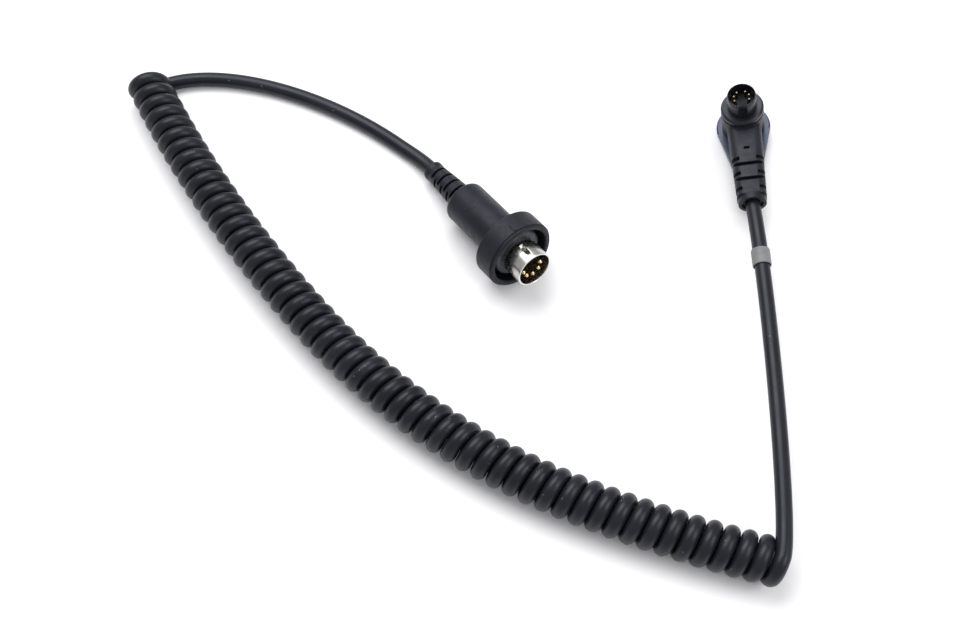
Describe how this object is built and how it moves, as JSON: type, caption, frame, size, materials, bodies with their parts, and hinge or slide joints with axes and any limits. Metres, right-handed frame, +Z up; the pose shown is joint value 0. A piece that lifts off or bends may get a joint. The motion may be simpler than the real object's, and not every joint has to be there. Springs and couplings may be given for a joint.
{
  "type": "coiled connecting cord",
  "caption": "Coiled electrical connecting cord with a straight round pin plug in a rubber collar at one end and a right-angle miniature round plug at the other.",
  "frame": {"origin": "centre of the round back face of the right-angle plug", "axes": "+Z up from the table, -Y the way the cord leaves the right-angle plug, +X to the right; the plug leans 13 degrees towards -X on the rim of its back cap, so the table is 2.16 mm below the origin"},
  "size_m": [0.2343, 0.1941, 0.027],
  "materials": {
    "jacket": "satin black flexible cord jacket",
    "insulation": "coloured conductor insulation",
    "plug_moulding": "satin black soft moulding",
    "collar_rubber": "matt black rubber",
    "seal_rubber": "dark grey rubber",
    "nickel": "nickel plate with light handling marks",
    "insulator": "black moulded plastic",
    "gold_pins": "thin gold plate",
    "inner_metal": "tinned steel",
    "cap_plastic": "smooth blue-black plastic",
    "ring_plastic": "black plastic",
    "black_plate": "black plated metal",
    "band_grey": "matt grey sleeve"
  },
  "bodies": {
    "coil_middle": {"coil_middle": "jacket", "coil_near": "jacket"},
    "coil_far_half": {"coil_far": "jacket"},
    "coil_far_end": {"coil_far_end": "jacket"},
    "straight_tail": {"straight_tail_jacket": "jacket", "straight_tail_conductors": "insulation"},
    "straight_plug": {"barrel_and_strain_relief": "plug_moulding", "seal_ring": "seal_rubber", "straight_shell": "nickel", "straight_insulator": "insulator", "straight_pins": "gold_pins", "straight_inner_sleeve": "inner_metal", "straight_cord_crimp": "inner_metal", "straight_cord_end": "jacket", "straight_leads": "insulation"},
    "collar": {"rubber_collar": "collar_rubber"},
    "coil_near_end": {"coil_near_end": "jacket"},
    "angled_tail": {"angled_tail_jacket": "jacket", "angled_tail_conductors": "insulation"},
    "angled_plug": {"angled_body": "plug_moulding", "back_cap": "cap_plastic", "flange_ring": "ring_plastic", "o_ring": "collar_rubber", "angled_shell": "black_plate", "angled_insulator": "insulator", "angled_pins": "gold_pins", "angled_inner_sleeve": "inner_metal", "angled_cord_crimp": "inner_metal", "angled_cord_end": "jacket", "angled_leads": "insulation"},
    "band": {"marker_band": "band_grey"}
  },
  "joints": [
    {"name": "coil_bend", "type": "hinge", "parent": "coil_middle", "child": "coil_far_half", "pos_m": [-0.13291, -0.10042, 0.00564], "axis": [0, 0, 1], "range_deg": [-30, 35], "deforming": ["coil_middle"]},
    {"name": "coil_stretch_far", "type": "slide", "parent": "coil_far_half", "child": "coil_far_end", "axis": [-0.5668, 0.8239, 0], "range_m": [0, 0.12], "stiffness_N_per_m": 20, "deforming": ["coil_far"]},
    {"name": "straight_tail_swing", "type": "hinge", "parent": "coil_far_end", "child": "straight_tail", "pos_m": [-0.21145, 0.01998, 0.00044], "axis": [0, 0, 1], "range_deg": [-6, 40], "deforming": ["straight_tail_jacket", "straight_tail_conductors"]},
    {"name": "straight_plug_flex", "type": "hinge", "parent": "straight_tail", "child": "straight_plug", "pos_m": [-0.11877, -0.0132, 0.00065], "axis": [0, 0, 1], "range_deg": [-15, 30]},
    {"name": "collar_turn", "type": "hinge", "parent": "straight_plug", "child": "collar", "pos_m": [-0.08515, -0.05663, 0.01123], "axis": [0.5886, -0.7839, 0.1977], "range_deg": [0, 60]},
    {"name": "coil_stretch_near", "type": "slide", "parent": "coil_middle", "child": "coil_near_end", "axis": [0.9202, -0.3914, 0], "range_m": [0, 0.12], "stiffness_N_per_m": 20, "deforming": ["coil_near"]},
    {"name": "angled_tail_swing", "type": "hinge", "parent": "coil_near_end", "child": "angled_tail", "pos_m": [-0.00446, -0.15457, 0.0106], "axis": [0, 0, 1], "range_deg": [-35, 25], "deforming": ["angled_tail_jacket", "angled_tail_conductors"]},
    {"name": "angled_plug_flex", "type": "hinge", "parent": "angled_tail", "child": "angled_plug", "pos_m": [-0.00102, -0.04399, 0.00622], "axis": [0, 0, 1], "range_deg": [-30, 30]},
    {"name": "band_slide", "type": "slide", "parent": "angled_tail", "child": "band", "axis": [-0.009, 0.9995, -0.0304], "range_m": [-0.012, 0.002]}
  ],
  "couplings": [
    {"joint": "coil_stretch_near", "follows": "coil_stretch_far", "ratio": 1}
  ]
}
